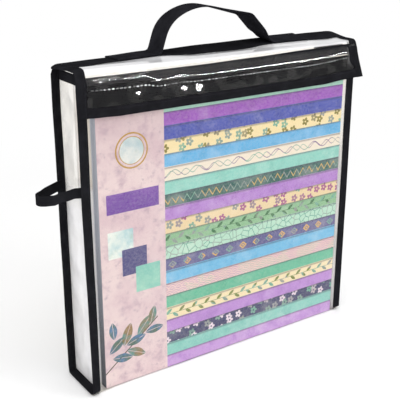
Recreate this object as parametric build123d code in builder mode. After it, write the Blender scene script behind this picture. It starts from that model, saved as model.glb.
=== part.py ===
from build123d import *
import os

# A carrying case for 12 inch paper: clear vinyl panels sewn together with folded black tape,
# a top flap whose lip closes with hook and loop tape, a webbing handle, a strap on the left
# side, and a paper pad inside. The origin lies on the floor under the middle of the body.
# +X points to the right of someone facing the case, +Y to its back and +Z up.
# Lengths are in millimetres and angles in degrees.

# Body
case_width = 318.0  # outside the two gussets
case_depth = 55.0  # outside the front and back panels
gusset_height = 320.5  # floor to the top of the gussets' hems
mouth_drop = 1.0  # the mouth's hem ends this far below the gussets' hems
sheet = 0.5  # thickness of the clear vinyl
tape = 0.9  # thickness of one layer of binding tape
tape_width = 9.5  # width of the binding tape once it is folded
clearance = 0.3  # room between pieces that move past each other

# Closure
closure_width = 15.0  # width of the hook tape, and of the loop tape
closure_pile = 1.5  # thickness of each of them

# Flap and lip
flap_overhang = 11.0  # past the rims, both ends of the flap together
flap_shift = 5.0  # how far the flap sits to the right of the body
flap_gap = 3.5  # room between the gussets' hems and the flap's hems
fold_radius = 9.0  # of the fold between flap and lip, at the middle of the vinyl
fold_turn = 90.0

# Carrying handle, whose arch leans to the left
webbing = 1.5  # thickness
webbing_width = 25.0
band_width = 26.0  # tape across the flap, which carries the handle
handle_span = 132.0  # between the feet of the arch
handle_end_length = 50.0  # sewn flat on the band at each foot
corner_height = 50.0  # left corner of the arch, before rounding, above its foot
corner_inset = 8.0  # the same corner, inwards from its foot
shoulder_height = 27.0  # right corner of the arch above its foot
shoulder_inset = 20.0  # the same corner, inwards from its foot
corner_radius_share = 0.8  # of the left corner's height
shoulder_radius_share = 0.9  # of the right corner's height

# Side strap, folded from binding tape
side_strap_width = 10.0
side_strap_height = 208.5  # floor to its middle
side_strap_straight = 11.0  # from its pivot to the start of its round end

# Thread
stitch_length = 3.0
stitch_width = 0.6
stitch_rise = 0.35
stitch_pitch = 4.2
stitch_inset = 2.2  # from the edge of the tape or webbing that it holds

# Paper pad of 12 inch sheets, which the case is made to fit
pad_side_room = 12.0  # both sides of the pad together
pad_top_room = 13.7  # below the top of the mouth's hem
pad_back_room = 10.8  # behind the board
pad_shift = 2.5  # how far the pad sits to the right of the middle
cover_thickness = 0.4
board_thickness = 1.6

# Places that follow from the sizes above
sides = {"left": -1, "right": 1}
fold = 2 * tape + sheet  # thickness of tape folded over vinyl
front_height = gusset_height - mouth_drop  # floor to the top of the mouth's hem
half_width = case_width / 2
rim_edge = half_width + tape_width
flap_width = 2 * rim_edge + flap_overhang  # outside the hems at its two ends
front_face = -case_depth / 2
front_middle = front_face + sheet / 2
front_inside = front_face + sheet
back_middle = case_depth / 2 - sheet / 2
rim_inside = case_depth / 2 - sheet - tape  # inner faces of the rims, from the middle
base_edge = tape + sheet  # top of the base panel's raised edges
flap_z = gusset_height + flap_gap + fold / 2  # middle of the flap's vinyl
hem_stop = fold / 2 + clearance  # hems end this far from a hinge axis
lip_y = front_face - 2 * closure_pile - clearance - sheet / 2  # middle of the lip's vinyl
lip_hinge_z = flap_z - fold_radius - hem_stop
lip_bottom = front_height - closure_width - 2 * tape_width
closure_bottom = lip_bottom + tape_width
flap_start = back_middle - hem_stop  # rear end of the flap's hems and band
flap_inside = flap_width - 2 * tape_width  # between the hems at the flap's ends
band_top = flap_z + sheet / 2 + tape
foot_z = band_top + webbing + clearance  # lowest point of the handle's arch
handle_y = flap_start - band_width / 2
handle_pivot_z = foot_z + webbing_width / 2
side_strap = 2 * tape  # thickness
side_strap_y = rim_inside - clearance - side_strap / 2
side_pivot_x = -half_width - clearance - side_strap_width / 2
pad_front = front_inside + tape + clearance
pad_back = back_middle - sheet / 2 - pad_back_room
pad_bottom = sheet + clearance
pad_width = case_width - 2 * sheet - pad_side_room
pad_height = front_height - pad_top_room - pad_bottom

os.makedirs("parts", exist_ok=True)


def write(part, label):
    """Name a finished piece and write its STEP file."""
    part.label = label
    export_step(part, f"parts/{label}.step")


def folded_tape(edge, outward, run, length):
    """Binding tape folded over an edge of vinyl, from the point edge along run."""
    with BuildPart() as folded:
        with BuildSketch(Plane(origin=edge, x_dir=outward, z_dir=run)):
            with BuildLine():
                Polyline(
                    (0, -fold / 2),
                    (0, fold / 2),
                    (-tape_width, fold / 2),
                    (-tape_width, sheet / 2),
                    (-tape, sheet / 2),
                    (-tape, -sheet / 2),
                    (-tape_width, -sheet / 2),
                    (-tape_width, -fold / 2),
                    close=True,
                )
            make_face()
        extrude(amount=length)
    return folded.part


def flap_line(start, drop):
    """Middle line of the flap from start over the fold, then drop further down."""
    flat = Line((start, flap_z), (lip_y + fold_radius, flap_z))
    bend = JernArc(flat @ 1, flat % 1, radius=fold_radius, arc_size=fold_turn)
    if drop:
        Line(bend @ 1, (lip_y, lip_hinge_z))


# Front panel, up to the fold of the mouth's hem
with BuildPart() as front_panel:
    with BuildSketch(Plane.XZ.offset(-front_face)):
        Rectangle(2 * (rim_edge - tape), front_height - tape, align=(Align.CENTER, Align.MIN))
    extrude(amount=-sheet)
write(front_panel.part, "front_panel")

# Back panel, up to the flap's hinge
with BuildPart() as back_panel:
    with BuildSketch(Plane.XZ.offset(-case_depth / 2)):
        Rectangle(
            2 * (rim_edge - tape),
            flap_z - sheet / 2 - clearance,
            align=(Align.CENTER, Align.MIN),
        )
    extrude(amount=sheet)
write(back_panel.part, "back_panel")

# Base panel: it lies on the floor, and its ends step up into the rims
with BuildPart() as base_panel:
    with BuildSketch(Plane.XY):
        Rectangle(case_width, case_depth - 2 * sheet)
    extrude(amount=sheet)
    with BuildSketch(Plane.XZ):
        for side in sides.values():
            with Locations((side * (half_width - sheet / 2), base_edge / 2)):
                Rectangle(sheet, base_edge)
            with Locations((side * (half_width + rim_edge - tape) / 2, tape + sheet / 2)):
                Rectangle(tape_width - tape, sheet)
    extrude(amount=rim_inside, both=True)
write(base_panel.part, "base_panel")

# Gussets, the two sides of the case
for name, side in sides.items():
    with BuildPart() as gusset:
        with BuildSketch(Plane.YZ.offset(side * half_width)):
            with Locations((0, base_edge)):
                Rectangle(
                    case_depth - 2 * sheet,
                    gusset_height - tape - base_edge,
                    align=(Align.CENTER, Align.MIN),
                )
        extrude(amount=-side * sheet)
    write(gusset.part, f"{name}_gusset")

# Rims: tape folded over the seams, pointing out to each side
for name, side in sides.items():
    outward = (side, 0, 0)
    front_rim = folded_tape((side * rim_edge, front_middle, 0), outward, (0, 0, 1), front_height)
    write(front_rim, f"front_{name}_rim")
    back_rim = folded_tape(
        (side * rim_edge, back_middle, 0), outward, (0, 0, 1), flap_z - hem_stop
    )
    write(back_rim, f"back_{name}_rim")
    base_rim = folded_tape(
        (side * rim_edge, -rim_inside, tape + sheet / 2), outward, (0, 1, 0), 2 * rim_inside
    )
    write(base_rim, f"base_{name}_rim")

# Hems of the mouth: over the gussets' top edges and the front panel's
for name, side in sides.items():
    gusset_hem = folded_tape(
        (side * (half_width - sheet / 2), -rim_inside, gusset_height),
        (0, 0, 1),
        (0, 1, 0),
        2 * rim_inside,
    )
    write(gusset_hem, f"{name}_gusset_hem")
mouth_hem = folded_tape(
    (sheet - half_width, front_middle, front_height), (0, 0, 1), (1, 0, 0), case_width - 2 * sheet
)
write(mouth_hem, "mouth_hem")

# Loop tape on the outside of the front panel, right under the mouth's hem
with BuildPart() as loop_tape:
    with BuildSketch(Plane.XZ.offset(-front_face)):
        with Locations((0, closure_bottom)):
            Rectangle(case_width, closure_width, align=(Align.CENTER, Align.MIN))
    extrude(amount=closure_pile)
write(loop_tape.part, "loop_tape")

# Top panel: flat, then rounded over the front; its two long edges are round at the hinges
with BuildPart() as top_panel:
    with BuildSketch(Plane.YZ.offset(flap_shift)):
        with BuildLine():
            flap_line(back_middle, drop=True)
        trace(line_width=sheet)
        with Locations((back_middle, flap_z), (lip_y, lip_hinge_z)):
            Circle(sheet / 2)
    extrude(amount=flap_width / 2 - tape, both=True)
write(top_panel.part, "top_panel")

# Hems over the two ends of the flap, which follow its fold
for name, side in sides.items():
    end = flap_shift + side * flap_width / 2
    with BuildPart() as flap_hem:
        with BuildSketch(Plane.YZ.offset(end)):
            with BuildLine():
                flap_line(flap_start, drop=False)
            trace(line_width=fold)
        extrude(amount=-side * tape_width)
        with BuildSketch(Plane.YZ.offset(end - side * tape)):
            with BuildLine():
                flap_line(flap_start, drop=False)
            trace(line_width=sheet)
        extrude(amount=-side * tape_width, mode=Mode.SUBTRACT)
    write(flap_hem.part, f"{name}_flap_hem")

# Band across the rear of the flap
with BuildPart() as handle_band:
    with BuildSketch(Plane.XY.offset(band_top)):
        with Locations((flap_shift, flap_start)):
            Rectangle(flap_inside, band_width, align=(Align.CENTER, Align.MAX))
    extrude(amount=-tape)
write(handle_band.part, "handle_band")

# Handle: an arch of webbing that turns on the middles of its round feet
with BuildPart() as handle_strap:
    with BuildSketch(Plane.XZ.offset(-handle_y)):
        with BuildLine():
            FilletPolyline(
                (flap_shift - handle_span / 2, foot_z),
                (flap_shift - handle_span / 2 + corner_inset, foot_z + corner_height),
                (flap_shift + handle_span / 2 - shoulder_inset, foot_z + shoulder_height),
                (flap_shift + handle_span / 2, foot_z),
                radius=[
                    corner_radius_share * corner_height,
                    shoulder_radius_share * shoulder_height,
                ],
            )
        trace(line_width=webbing)
    extrude(amount=webbing_width / 2, both=True)
    with BuildSketch(Plane.YZ.offset(flap_shift)):
        with Locations((handle_y, handle_pivot_z)):
            Circle(webbing_width / 2)
            Rectangle(webbing_width, corner_height, align=(Align.CENTER, Align.MIN))
    extrude(amount=handle_span, both=True, mode=Mode.INTERSECT)
write(handle_strap.part, "handle_strap")

# Ends of the webbing, sewn flat on the band, outwards from the feet
end_middle = handle_span / 2 + (handle_end_length - webbing) / 2
for name, side in sides.items():
    with BuildPart() as handle_end:
        with BuildSketch(Plane.XY.offset(band_top)):
            with Locations((flap_shift + side * end_middle, handle_y)):
                Rectangle(handle_end_length, webbing_width)
        extrude(amount=webbing)
    write(handle_end.part, f"{name}_handle_end")

# Thread round the edge of each sewn end
row_length = handle_end_length - 2 * stitch_inset
row_width = webbing_width - 2 * stitch_inset
with BuildPart() as handle_stitches:
    for side in sides.values():
        with Locations(
            (flap_shift + side * end_middle, handle_y, band_top + webbing + stitch_rise / 2)
        ):
            along = int((row_length - stitch_pitch) / stitch_pitch)
            with GridLocations(stitch_pitch, row_width, along, 2):
                Box(stitch_length, stitch_width, stitch_rise)
            across = int((row_width - stitch_pitch) / stitch_pitch)
            with GridLocations(row_length, stitch_pitch, 2, across):
                Box(stitch_width, stitch_length, stitch_rise)
write(handle_stitches.part, "handle_stitches")

# Lip panel, hanging from the fold
with BuildPart() as lip_panel:
    with BuildSketch(Plane.XZ.offset(-lip_y)):
        with Locations((flap_shift, lip_bottom + tape)):
            Rectangle(
                flap_width - 2 * tape,
                lip_hinge_z - sheet / 2 - clearance - lip_bottom - tape,
                align=(Align.CENTER, Align.MIN),
            )
    extrude(amount=sheet / 2, both=True)
write(lip_panel.part, "lip_panel")

# Hems of the lip: over its two ends and its lower edge
for name, side in sides.items():
    lip_end = folded_tape(
        (flap_shift + side * flap_width / 2, lip_y, lip_bottom),
        (side, 0, 0),
        (0, 0, 1),
        lip_hinge_z - hem_stop - lip_bottom,
    )
    write(lip_end, f"{name}_lip_hem")
lip_hem = folded_tape(
    (flap_shift - flap_inside / 2, lip_y, lip_bottom), (0, 0, -1), (1, 0, 0), flap_inside
)
write(lip_hem, "lip_hem")

# Hook tape on the inside of the lip, facing the loop tape
with BuildPart() as hook_tape:
    with BuildSketch(Plane.XZ.offset(-lip_y - sheet / 2 - closure_pile)):
        with Locations((flap_shift, closure_bottom)):
            Rectangle(flap_inside, closure_width, align=(Align.CENTER, Align.MIN))
    extrude(amount=closure_pile)
write(hook_tape.part, "hook_tape")

# Row of thread along the upper edge of the hook tape, on the outside of the lip
with BuildPart() as lip_stitches:
    with Locations(
        (
            flap_shift,
            lip_y - sheet / 2 - stitch_rise / 2,
            closure_bottom + closure_width - stitch_inset,
        )
    ):
        with GridLocations(stitch_pitch, stitch_pitch, int(flap_inside / stitch_pitch), 1):
            Box(stitch_length, stitch_rise, stitch_width)
write(lip_stitches.part, "lip_stitches")

# Side strap: a loop between the left rims that turns on the middles of its round ends
arc_x = side_pivot_x - side_strap_straight
tab_x = side_pivot_x + side_strap_width / 2
with BuildPart() as strap_loop:
    with BuildSketch(Plane.XY.offset(side_strap_height)):
        with BuildLine():
            Line((tab_x, -side_strap_y), (arc_x, -side_strap_y))
            ThreePointArc((arc_x, -side_strap_y), (arc_x - side_strap_y, 0), (arc_x, side_strap_y))
            Line((arc_x, side_strap_y), (tab_x, side_strap_y))
        trace(line_width=side_strap)
    extrude(amount=side_strap_width / 2, both=True)
    with BuildSketch(Plane.XZ):
        with Locations((side_pivot_x, side_strap_height)):
            Circle(side_strap_width / 2)
            Rectangle(
                side_strap_straight + 2 * side_strap_y,
                side_strap_width,
                align=(Align.MAX, Align.CENTER),
            )
    extrude(amount=case_depth, both=True, mode=Mode.INTERSECT)
write(strap_loop.part, "side_strap")

# Paper pad: cover, sheets and backing board, one behind the other
sheets_front = pad_front + cover_thickness
board_front = pad_back - board_thickness
layers = {
    "pad_cover": (pad_front, sheets_front),
    "pad_sheets": (sheets_front, board_front),
    "pad_board": (board_front, pad_back),
}
for label, (layer_front, layer_back) in layers.items():
    with BuildPart() as layer:
        with BuildSketch(Plane.XZ.offset(-layer_front)):
            with Locations((pad_shift, pad_bottom)):
                Rectangle(pad_width, pad_height, align=(Align.CENTER, Align.MIN))
        extrude(amount=layer_front - layer_back)
    write(layer.part, label)
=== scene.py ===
# %% [markdown]
# # A clear carrying case for square paper
#
# The case is one long sheet of clear vinyl folded round a paper pad, with two narrow sides, black
# tape sewn over every edge, a flap that closes with hook and loop tape, and a webbing handle.
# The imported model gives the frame: every piece below is made in metres at the place of its solid.

# %% Load the frame
import math
import random
from functools import partialmethod

import bmesh
import bpy
from mathutils import Matrix, Vector, noise


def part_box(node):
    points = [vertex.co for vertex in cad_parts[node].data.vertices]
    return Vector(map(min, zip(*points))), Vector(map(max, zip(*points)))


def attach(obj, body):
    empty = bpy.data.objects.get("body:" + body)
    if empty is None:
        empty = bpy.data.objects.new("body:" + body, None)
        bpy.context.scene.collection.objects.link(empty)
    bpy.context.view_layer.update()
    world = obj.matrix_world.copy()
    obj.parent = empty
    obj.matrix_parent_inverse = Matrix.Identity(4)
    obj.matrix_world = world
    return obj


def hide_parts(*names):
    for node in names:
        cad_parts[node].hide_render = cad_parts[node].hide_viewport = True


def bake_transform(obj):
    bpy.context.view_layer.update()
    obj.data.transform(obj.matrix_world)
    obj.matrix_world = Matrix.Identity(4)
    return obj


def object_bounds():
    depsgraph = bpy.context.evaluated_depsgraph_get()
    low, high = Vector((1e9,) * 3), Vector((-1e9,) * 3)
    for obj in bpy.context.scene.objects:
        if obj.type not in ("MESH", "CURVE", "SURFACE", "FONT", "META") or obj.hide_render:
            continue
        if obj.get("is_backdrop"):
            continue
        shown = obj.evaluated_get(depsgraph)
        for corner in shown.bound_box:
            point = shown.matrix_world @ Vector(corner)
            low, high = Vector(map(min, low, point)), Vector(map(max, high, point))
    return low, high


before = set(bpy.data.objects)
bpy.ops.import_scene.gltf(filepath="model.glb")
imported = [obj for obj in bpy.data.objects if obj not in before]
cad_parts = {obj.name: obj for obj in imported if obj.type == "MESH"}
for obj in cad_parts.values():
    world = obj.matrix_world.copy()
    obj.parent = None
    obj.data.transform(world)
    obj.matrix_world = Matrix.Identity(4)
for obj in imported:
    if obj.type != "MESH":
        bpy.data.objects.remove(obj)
cad_low, cad_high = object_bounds()
MM = 0.001
print("CAD box", [round(v, 4) for v in cad_low], [round(v, 4) for v in cad_high])

# %% [markdown]
# ## Sizes from the frame
#
# The vinyl, tape and flap are measured on their solids, so the soft pieces follow the model.

# %% Measure the solids
front_low, front_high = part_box("front_panel")
rim_low, rim_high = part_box("front_left_rim")
flap_low, flap_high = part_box("left_flap_hem")
flap_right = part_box("right_flap_hem")[1].x
band_low, band_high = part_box("handle_band")
lip_low, lip_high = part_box("lip_panel")
sheet = front_high.y - front_low.y
tape_width = rim_high.x - rim_low.x
fold = rim_high.y - rim_low.y
front_y = front_low.y + sheet / 2
back_y = -front_y
half_width = -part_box("left_gusset")[0].x
flap_z = flap_high.z - fold / 2
lip_y = (lip_low.y + lip_high.y) / 2
lip_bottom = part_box("lip_hem")[0].z
flap_middle = (flap_low.x + flap_right) / 2
print("tape", round(tape_width, 4), "flap at", round(flap_z, 4), "lip to", round(lip_bottom, 4))

# %% [markdown]
# ## Camera and stage
#
# The camera stands to the left of the case, about 20 degrees above it. Its place comes from the
# edges of the square pad. A large pale floor runs out to a white world, as on a studio table.

# %% Camera
camera_at = Vector((-479.4, -677.5, 466.0)) * MM
camera_tilt = math.radians(70.16)
camera_turn = math.radians(-34.28)
bpy.ops.object.select_all(action="DESELECT")
bpy.ops.object.camera_add(location=camera_at, rotation=(camera_tilt, 0, camera_turn))
camera = bpy.context.object
camera.data.sensor_width = 36
camera.data.lens = 74.19
bpy.context.scene.camera = camera
bpy.context.scene.view_settings.view_transform = "Standard"
print("camera", [round(v, 3) for v in camera_at])

# %% [markdown]
# ## Helpers for nodes
#
# A pattern is a sum of simple waves. `Value` wraps a node socket so that a pattern can be written
# as a sum, and each operation becomes one Math node.


# %% Node helpers: numbers
def put(tree, kind, feeds=None, **settings):
    """Place a node, set it up and feed its inputs from numbers or from other sockets."""
    made = tree.nodes.new("ShaderNode" + kind)
    for name, value in settings.items():
        setattr(made, name, value)
    for name, value in (feeds or {}).items():
        value = value.socket if isinstance(value, Value) else value
        if isinstance(value, bpy.types.NodeSocket):
            tree.links.new(value, made.inputs[name])
        else:
            made.inputs[name].default_value = value
    return made


class Value:
    """A number that changes over a surface. Its sums and products are Math nodes."""

    def __init__(self, tree, socket):
        self.tree, self.socket = tree, socket

    def math(self, operation, *others):
        """One Math node. Each short name below is one of its operations."""
        made = put(self.tree, "Math", dict(enumerate((self, *others))), operation=operation)
        return Value(self.tree, made.outputs[0])

    __add__ = partialmethod(math, "ADD")
    __sub__ = partialmethod(math, "SUBTRACT")
    __mul__ = partialmethod(math, "MULTIPLY")
    __truediv__ = partialmethod(math, "DIVIDE")
    sine = partialmethod(math, "SINE")
    cosine = partialmethod(math, "COSINE")
    size = partialmethod(math, "ABSOLUTE")
    fract = partialmethod(math, "FRACT")
    floor = partialmethod(math, "FLOOR")
    power = partialmethod(math, "POWER")
    below = partialmethod(math, "LESS_THAN")
    above = partialmethod(math, "GREATER_THAN")
    either = partialmethod(math, "MAXIMUM")

    def ramp(self, low, high, first=0.0, last=1.0):
        """Smoothly from first at low to last at high."""
        made = put(self.tree, "MapRange", {0: self, 1: low, 2: high, 3: first, 4: last})
        made.interpolation_type = "SMOOTHSTEP"
        return Value(self.tree, made.outputs[0])


print("node helpers for numbers ready")


# %% Node helpers: patterns and finishes
def split(tree, vector):
    """The three numbers of a vector socket."""
    made = put(tree, "SeparateXYZ", {0: vector})
    return [Value(tree, made.outputs[axis]) for axis in range(3)]


def far(along, across):
    """How far a place is from a middle, by its two offsets."""
    return (along * along + across * across).power(0.5)


def speckle(tree, vector, scale, detail=2.0, rough=0.5):
    """A cloudy noise from 0 to 1, scale blotches to a metre."""
    feeds = {"Vector": vector, "Scale": scale, "Detail": detail, "Roughness": rough}
    return Value(tree, put(tree, "TexNoise", feeds).outputs[0])


def tint(tree, mask, first, last):
    """A colour between two others, by a mask."""
    return put(tree, "Mix", {0: mask, 6: first, 7: last}, data_type="RGBA").outputs[2]


def ink(code, alpha=1.0):
    """A colour written as six hex digits, in the linear values that nodes use."""
    parts = [int(code[place : place + 2], 16) / 255 for place in (0, 2, 4)]
    return [*(p / 12.92 if p <= 0.04045 else ((p + 0.055) / 1.055) ** 2.4 for p in parts), alpha]


def new_material(name):
    """An empty material with its node tree and output node."""
    made = bpy.data.materials.new(name)
    made.use_nodes = True
    made.node_tree.nodes.clear()
    return made, made.node_tree, put(made.node_tree, "OutputMaterial")


def relief(tree, height, strength, depth):
    """Small bumps from a pattern, as the normal that a shader takes."""
    return put(tree, "Bump", {"Height": height, "Strength": strength, "Distance": depth}).outputs[0]


def coat(tree, out, feeds):
    """The plain surface shader with its feeds, joined to the material's output."""
    tree.links.new(put(tree, "BsdfPrincipled", feeds).outputs[0], out.inputs[0])


print("node helpers for patterns ready")

# %% [markdown]
# ## Floor, world and lamps
#
# The floor is a wide disc. Near the case it is plain pale card that takes the shadow, and further
# out it fades to the white of the world. Lamps are soft boxes: a wide one above, one at the left
# of the camera, one in front, and a narrow one whose mirror image glints in the vinyl of the lip.

# %% Floor
floor_radius = 4.0
fade_from, fade_to = 0.3, 0.9
bpy.ops.object.select_all(action="DESELECT")
bpy.ops.mesh.primitive_circle_add(vertices=96, radius=floor_radius, fill_type="NGON")
floor = bpy.context.object
floor.name = "studio_floor"
floor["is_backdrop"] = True
floor_card, tree, out = new_material("floor card")
x, y, z = split(tree, put(tree, "TexCoord").outputs["Object"])
card = put(tree, "BsdfPrincipled", {"Base Color": ink("ffffff"), "Roughness": 0.7})
white = put(tree, "Emission", {"Color": (1, 1, 1, 1), "Strength": 1.0})
whiter = far(x, y).ramp(fade_from, fade_to)
fade = put(tree, "MixShader", {0: whiter, 1: card.outputs[0], 2: white.outputs[0]})
tree.links.new(fade.outputs[0], out.inputs[0])
floor.data.materials.append(floor_card)
print("floor", floor_radius, "m, white from", fade_to, "m")

# %% World
world = bpy.context.scene.world or bpy.data.worlds.new("studio")
bpy.context.scene.world = world
world.use_nodes = True
tree = world.node_tree
tree.nodes.clear()
rays = put(tree, "LightPath")
seen = Value(tree, rays.outputs["Is Camera Ray"])
for kind in ("Is Glossy Ray", "Is Transmission Ray"):
    seen = seen.either(Value(tree, rays.outputs[kind]))
fill_light = 0.75
strength = seen.ramp(0, 1, fill_light, 1.0)
backdrop = put(tree, "Background", {"Color": (1, 1, 1, 1), "Strength": strength})
tree.links.new(backdrop.outputs[0], put(tree, "OutputWorld").inputs[0])
print("world lights with", fill_light)


# %% Lamps
def soft_box(name, at, aim, width, height, watts, lights=True):
    """A rectangular lamp that faces a point. One that lights nothing is seen in mirrors only."""
    bpy.ops.object.light_add(type="AREA", location=at)
    lamp = bpy.context.object
    lamp.name = name
    lamp.rotation_euler = (Vector(aim) - Vector(at)).to_track_quat("-Z", "Y").to_euler()
    lamp.data.shape = "RECTANGLE"
    lamp.data.size, lamp.data.size_y = width, height
    lamp.data.energy = watts
    lamp.visible_diffuse = lights


middle = (cad_low + cad_high) / 2
soft_box("top_box", (0.0, -0.25, 1.5), middle, 1.2, 0.9, 6)
soft_box("left_box", (-1.42, -0.6, 0.5), middle, 0.8, 0.8, 6.2)
soft_box("front_box", (0.85, -1.1, 1.1), middle, 0.6, 0.4, 5)
soft_box("lip_glint", (0.94, -1.38, 0.42), (0, 0, 0.3), 1.0, 0.15, 60, False)

# %% [markdown]
# ## Finishes: weave
#
# Binding tape is a fine plain weave, webbing a coarser ribbed one. Both come from one group: two
# crossed waves lift the threads, and a cloudy noise makes some of them duller. The colour is painted
# darker between the raised threads, as painted shade. It reads the map that each tape carries, with
# metres along and across the tape.


# %% Weave group
def new_group(name, inputs, outputs):
    """A shader node group with named inputs and outputs."""
    group = bpy.data.node_groups.new(name, "ShaderNodeTree")
    for label, kind, value in inputs:
        socket = group.interface.new_socket(label, in_out="INPUT", socket_type="NodeSocket" + kind)
        if value is not None:
            socket.default_value = value
    for label, kind in outputs:
        group.interface.new_socket(label, in_out="OUTPUT", socket_type="NodeSocket" + kind)
    return group, group.nodes.new("NodeGroupInput"), group.nodes.new("NodeGroupOutput")


weave, given, result = new_group(
    "woven threads",
    [
        ("Vector", "Vector", None),
        ("Along", "Float", 5000.0),
        ("Across", "Float", 5000.0),
        ("Slant", "Float", 0.0),
        ("Dark", "Color", (0.01, 0.01, 0.01, 1)),
        ("Light", "Color", (0.03, 0.03, 0.03, 1)),
    ],
    [("Height", "Float"), ("Color", "Color"), ("Roughness", "Float")],
)
along, across, _ = split(weave, given.outputs["Vector"])
slanted = along + across.size() * Value(weave, given.outputs["Slant"])
warp = (slanted * Value(weave, given.outputs["Along"])).sine()
weft = (across * Value(weave, given.outputs["Across"])).sine()
height = (warp * weft).ramp(-1, 1)
lint = speckle(weave, given.outputs["Vector"], 900, detail=3)
wear = speckle(weave, given.outputs["Vector"], 55, detail=4, rough=0.6)
# Painted shade: the colour is darker between the raised threads, by their height; lint and wear add tone
# at random.
shade = (height * 0.45) + (lint * 0.3) + (wear.ramp(0.35, 0.75) * 0.4)
colour = tint(weave, shade, given.outputs["Dark"], given.outputs["Light"])
weave.links.new(height.socket, result.inputs["Height"])
weave.links.new(colour, result.inputs["Color"])
weave.links.new(wear.ramp(0.3, 0.7, 0.95, 0.72).socket, result.inputs["Roughness"])
print("group", weave.name, len(weave.nodes), "nodes")


# %% Woven materials
def woven(name, along, across, slant, dark, light, depth, shine=0.0):
    """Black cloth of threads: waves to a metre along and across, and a slant for a herringbone."""
    made, tree, out = new_material(name)
    threads = put(tree, "Group", node_tree=weave)
    turns = 2 * math.pi
    sizes = {"Along": along * turns, "Across": across * turns, "Slant": slant}
    for label, value in {**sizes, "Dark": ink(dark), "Light": ink(light)}.items():
        threads.inputs[label].default_value = value
    tree.links.new(put(tree, "UVMap").outputs[0], threads.inputs["Vector"])
    feeds = {
        "Base Color": threads.outputs["Color"],
        "Roughness": threads.outputs["Roughness"],
        "Normal": relief(tree, threads.outputs["Height"], 0.6, depth),
        "Specular IOR Level": shine,
    }
    coat(tree, out, feeds)
    return made


tape_cloth = woven("binding tape", 900, 900, 0.0, "121214", "29292d", 0.15 * MM)
strap_cloth = woven("ribbed webbing", 420, 900, 0.9, "0f0f11", "2e2e33", 0.3 * MM)
thread_cloth = woven("sewing thread", 1800, 1800, 1.0, "161618", "333338", 0.05 * MM, 0.02)
pile_cloth = woven("loop pile", 700, 640, 0.4, "070708", "161618", 0.5 * MM)
hook_cloth = woven("hook pile", 520, 520, 0.0, "070708", "141416", 0.4 * MM)
nylon_with_painted_glints, tree, out = new_material("nylon thread with painted glints")
place = put(tree, "TexCoord").outputs["Object"]
# Painted glints: groups of white spots in the thread's colour stand in for glints at the stitch holes.
painted_glints = speckle(tree, place, 26).ramp(0.40, 0.52) * speckle(tree, place, 420).ramp(0.42, 0.52)
coat(tree, out, {"Base Color": tint(tree, painted_glints, ink("141416"), ink("f4f4f6")), "Roughness": 0.3})
cloths = (tape_cloth, strap_cloth, thread_cloth, pile_cloth, hook_cloth, nylon_with_painted_glints)
print("woven", [cloth.name for cloth in cloths])

# %% [markdown]
# ## Finishes: clear vinyl
#
# Soft vinyl is clear face on, mirrors the lamps at a low angle, and is a little milky. The material
# mixes three shaders: a see-through one, a pale one for the milk, and a mirror that grows with the
# angle. Low angles also darken it, since more of the sheet lies in the way, so folds show as lines.
# The top of the flap lies flat under the light and is hazier than the rest, and so is the lower half
# of the narrow sides, which looks nearly white.

# %% Vinyl
mirror_face_on, mirror_low_angle = 0.011, 0.9
tint_from = 0.66


def vinyl(name, milk, ripple, gloss, edge, haze=0.0, clear_at=0.0, hazy_at=1.0):
    """Clear sheet: milk, depth of ripples, roughness of its mirror, low-angle tint, and a haze that
    grows between two levels."""
    made, tree, out = new_material(name)
    place = put(tree, "TexCoord").outputs["Object"]
    waves = speckle(tree, place, 38, detail=2) + speckle(tree, place, 11, detail=1) * 2.0
    rippled = relief(tree, waves, 1.0, ripple)
    angle = put(tree, "LayerWeight", {"Blend": 0.5, "Normal": rippled})
    facing = Value(tree, angle.outputs["Facing"])
    mirror = facing.power(5.0) * mirror_low_angle + mirror_face_on
    cloud = speckle(tree, place, 20, detail=4, rough=0.6).ramp(0.3, 0.8, milk * 0.5, milk * 1.6)
    through = tint(tree, facing.ramp(tint_from, 1.0), ink("fefdfb"), edge)
    clear = put(tree, "BsdfTransparent", {"Color": through})
    pale = put(tree, "BsdfPrincipled", {"Base Color": ink("fafafd"), "Roughness": 0.5})
    shine = put(tree, "BsdfGlossy", {"Roughness": gloss, "Normal": rippled})
    level = split(tree, place)[2]
    cloud = cloud + level.ramp(clear_at, hazy_at, 0.0, haze)
    body = put(tree, "MixShader", {0: cloud, 1: clear.outputs[0], 2: pale.outputs[0]})
    both = put(tree, "MixShader", {0: mirror, 1: body.outputs[0], 2: shine.outputs[0]})
    tree.links.new(both.outputs[0], out.inputs[0])
    return made


wrap_vinyl = vinyl("clear vinyl", 0.008, 0.3 * MM, 0.03, ink("c2c4c6"))
flap_top = (flap_z - 2.6 * MM, flap_z - 1.4 * MM)
flap_vinyl = vinyl("flap vinyl", 0.008, 0.3 * MM, 0.03, ink("c2c4c6"), 0.55, *flap_top)
gusset_low_half = (225 * MM, 180 * MM)
gusset_vinyl = vinyl("frosty vinyl", 0.18, 0.2 * MM, 0.12, ink("eeedf2"), 0.4, *gusset_low_half)
print("vinyl", wrap_vinyl.name, flap_vinyl.name, gusset_vinyl.name)

# %% [markdown]
# ## Helpers for modelling
#
# Each helper is one habit of working by hand: start from a primitive with nothing else selected,
# pick parts of it by their place, apply a modifier. Tape is always made flat and straight first,
# with its stitches, and then bent along the line of its seam by a Curve modifier.


# %% Helpers: pick and apply
def start(add, name, scale=(1, 1, 1), **settings):
    """Deselect everything, add a primitive, name it, size it and apply its place and size."""
    bpy.ops.object.select_all(action="DESELECT")
    add(**settings)
    piece = bpy.context.object
    piece.name = piece.data.name = name
    piece.scale = scale
    bpy.ops.object.transform_apply(location=True, rotation=True, scale=True)
    return piece


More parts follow.
